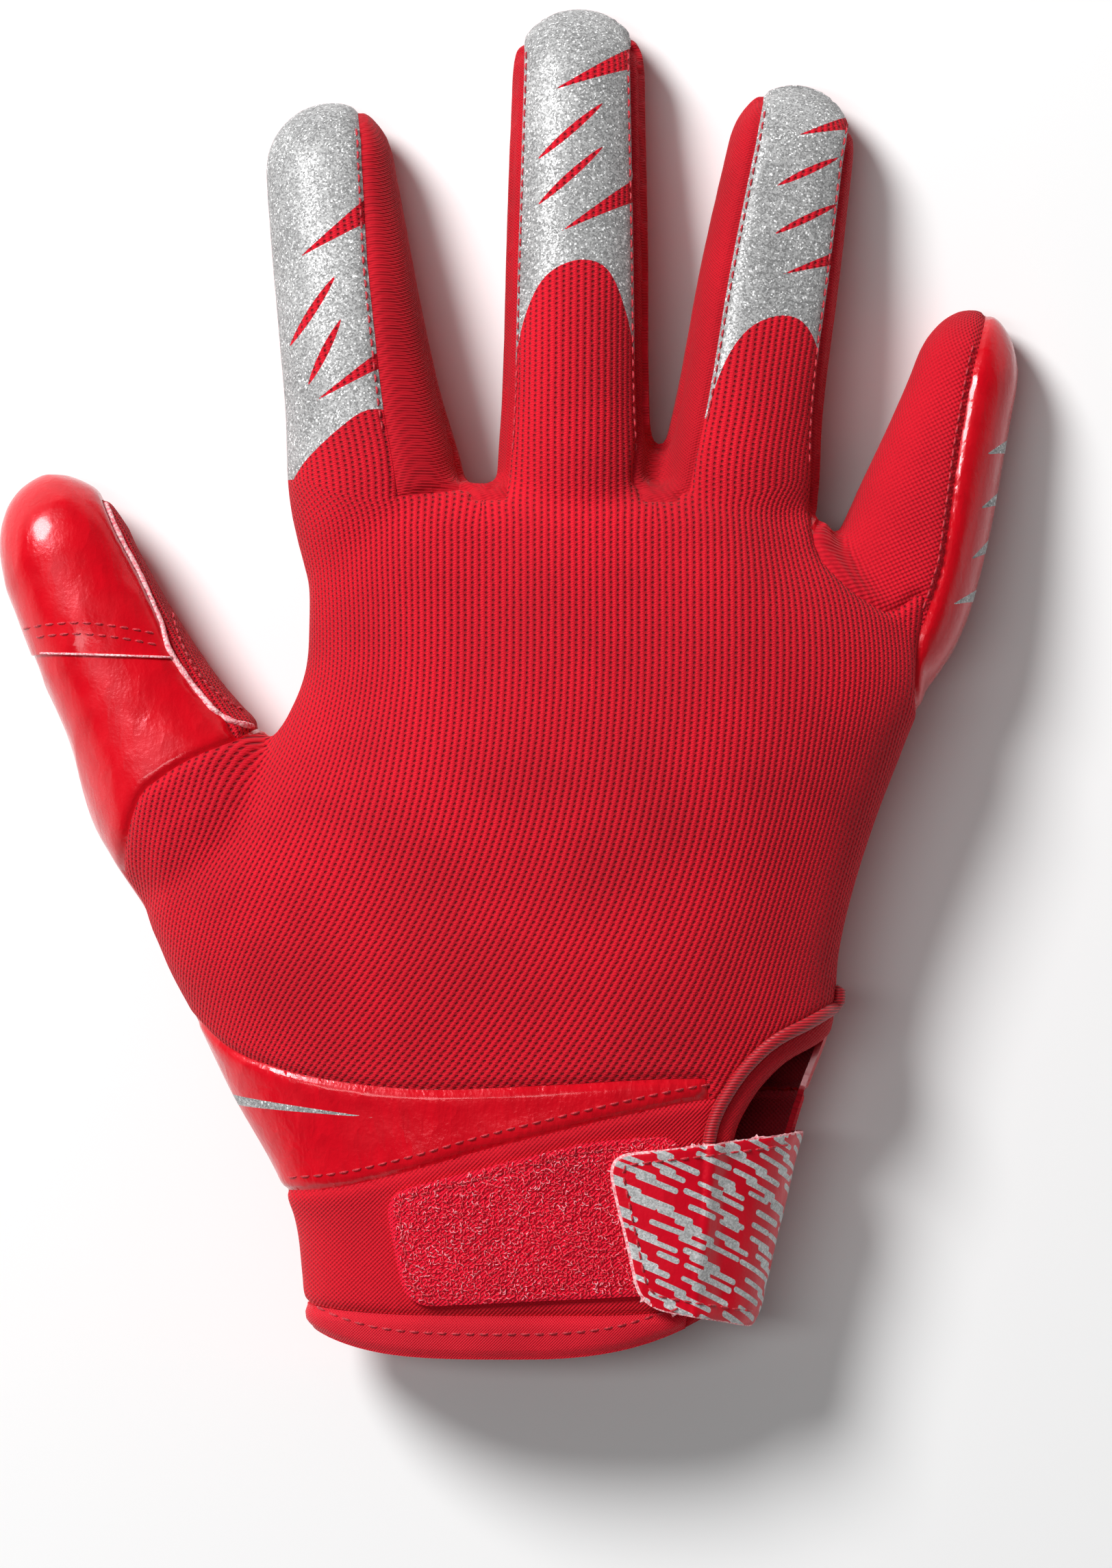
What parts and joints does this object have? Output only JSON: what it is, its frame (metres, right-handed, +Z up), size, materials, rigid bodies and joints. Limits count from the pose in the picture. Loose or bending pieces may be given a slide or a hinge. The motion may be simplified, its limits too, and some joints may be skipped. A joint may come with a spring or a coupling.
{
  "type": "football receiver glove",
  "caption": "Right-hand football receiver glove with a knit back, glossy grip palm, silver-printed fingertips, vented cuff and a wrap-round wrist strap.",
  "frame": {"origin": "on the floor, under the middle of the glove's outline", "axes": "+X across the palm towards the little finger, +Y from the cuff to the fingertips, +Z up through the back of the hand; the glove lies palm down"},
  "size_m": [0.1804, 0.2362, 0.038],
  "materials": {
    "knit_back": "matt ribbed stretch knit, with printed silver glitter on the fingertips",
    "finger_mesh": "matt woven mesh",
    "side_strips": "matt fabric with fine cross ribs",
    "grip_leather": "glossy tacky synthetic leather",
    "thumb_knit": "matt stretch knit",
    "wrist_leather": "glossy synthetic leather",
    "cuff_fabric": "matt stretch fabric",
    "hem_fabric": "folded stretch fabric with a slight sheen",
    "piping_fabric": "satin covered cord",
    "facing_fabric": "matt woven tape",
    "loop_pile": "fuzzy loop pile",
    "strap_fabric": "smooth coated fabric with printed silver dashes"
  },
  "bodies": {
    "root": {"back_panel": "knit_back", "little_finger_back": "finger_mesh", "fourchette_index_middle": "side_strips", "fourchette_middle_ring": "side_strips", "fourchette_ring_little": "side_strips", "palm_panel": "grip_leather", "thumb_tip": "grip_leather", "thumb_base": "grip_leather", "thumb_gusset": "thumb_knit", "wrist_band": "wrist_leather", "cuff": "cuff_fabric", "cuff_hem": "hem_fabric", "vent_piping": "piping_fabric", "vent_facing": "facing_fabric", "loop_patch": "loop_pile", "strap": "strap_fabric"}
  },
  "joints": []
}
